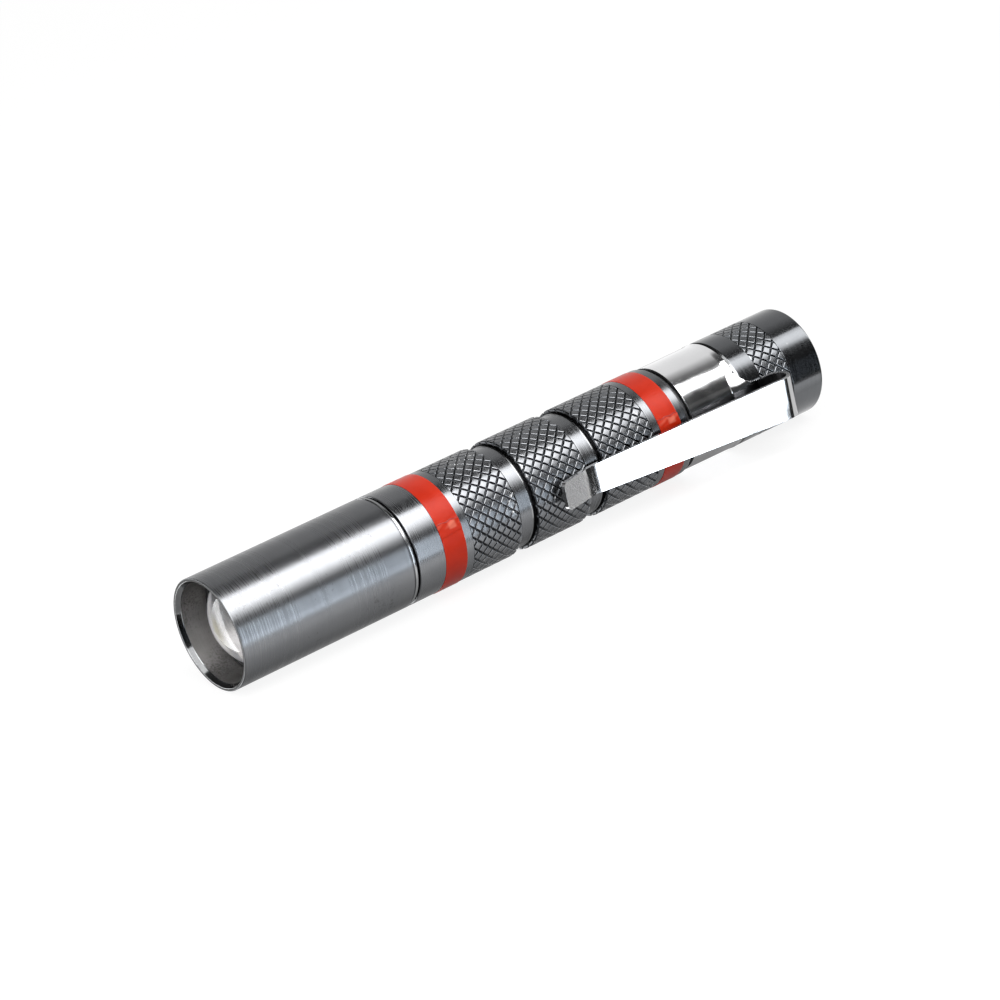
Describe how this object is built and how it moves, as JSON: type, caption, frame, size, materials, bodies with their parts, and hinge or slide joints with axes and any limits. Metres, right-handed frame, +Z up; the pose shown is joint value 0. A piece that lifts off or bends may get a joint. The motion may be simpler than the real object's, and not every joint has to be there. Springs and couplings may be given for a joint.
{
  "type": "penlight",
  "caption": "Slim metal pocket torch: sliding focus head with a domed lens, diamond-knurled barrel, red bands, folded spring clip and a screw-on tail cap with a push button.",
  "frame": {"origin": "on the barrel's axis, in the plane of the head's front rim", "axes": "+X along the barrel from the lens to the tail, the clip on the -Y side, +Z up as it lies"},
  "size_m": [0.0894, 0.018, 0.0142],
  "materials": {
    "head_metal": "gunmetal anodised, fine turned",
    "barrel_metal": "dark gunmetal anodised, knurled",
    "cap_metal": "dark gunmetal anodised, knurled",
    "chrome_sheet": "polished",
    "red_band": "glossy film",
    "lens_clear": "clear",
    "black_rubber": "matte",
    "brass": "turned",
    "black_metal": "black anodised",
    "white_board": "white solder mask",
    "phosphor": "yellow phosphor under clear silicone",
    "green_board": "solder mask",
    "ferrite": "matte",
    "spring_steel": "plated wire",
    "can_steel": "plated",
    "cell_powder": "packed zinc and manganese powder, matte",
    "cell_film": "plain printed film",
    "nylon": "moulded",
    "dark_plastic": "moulded",
    "button_rubber": "satin"
  },
  "bodies": {
    "barrel": {"barrel": "barrel_metal", "front_band": "red_band", "rear_band": "red_band", "clip_o_ring": "black_rubber", "cap_o_ring": "black_rubber", "led_pill": "brass", "led_board": "white_board", "led_emitter": "phosphor", "driver_board": "green_board", "driver_inductor": "ferrite", "front_contact_spring": "spring_steel"},
    "drag_ring": {"zoom_o_ring": "black_rubber"},
    "head": {"head_sleeve": "head_metal", "lens": "lens_clear", "lens_seal": "black_rubber", "lens_retainer": "black_metal"},
    "clip": {"clip": "chrome_sheet"},
    "cell": {"cell_can": "can_steel", "cell_core": "cell_powder", "cell_base": "can_steel", "cell_seal": "nylon", "cell_jacket": "cell_film"},
    "tail_cap": {"tail_cap": "cap_metal", "switch_retainer": "brass", "switch_board": "green_board", "tail_spring": "spring_steel", "switch_housing": "dark_plastic", "button_washer": "dark_plastic"},
    "button": {"tail_button": "button_rubber", "switch_plunger": "dark_plastic"}
  },
  "joints": [
    {"name": "head_turn", "type": "hinge", "parent": "barrel", "child": "drag_ring", "pos_m": [0.01366, 0, 0], "axis": [1, 0, 0], "continuous": true},
    {"name": "head_zoom", "type": "slide", "parent": "drag_ring", "child": "head", "axis": [-1, 0, 0], "range_m": [0, 0.006]},
    {"name": "clip_turn", "type": "hinge", "parent": "barrel", "child": "clip", "pos_m": [0.0725, 0, 0], "axis": [1, 0, 0], "continuous": true},
    {"name": "cap_travel", "type": "slide", "parent": "barrel", "child": "cell", "axis": [1, 0, 0], "range_m": [0, 0.004]},
    {"name": "cap_screw", "type": "hinge", "parent": "cell", "child": "tail_cap", "pos_m": [0.083, 0, 0], "axis": [1, 0, 0], "range_deg": [0, 1800]},
    {"name": "button_press", "type": "slide", "parent": "tail_cap", "child": "button", "axis": [-1, 0, 0], "range_m": [0, 0.0012], "stiffness_N_per_m": 500, "springref_m": -0.003}
  ],
  "couplings": [
    {"joint": "cap_screw", "follows": "cap_travel", "rad_per_m": 7854}
  ]
}
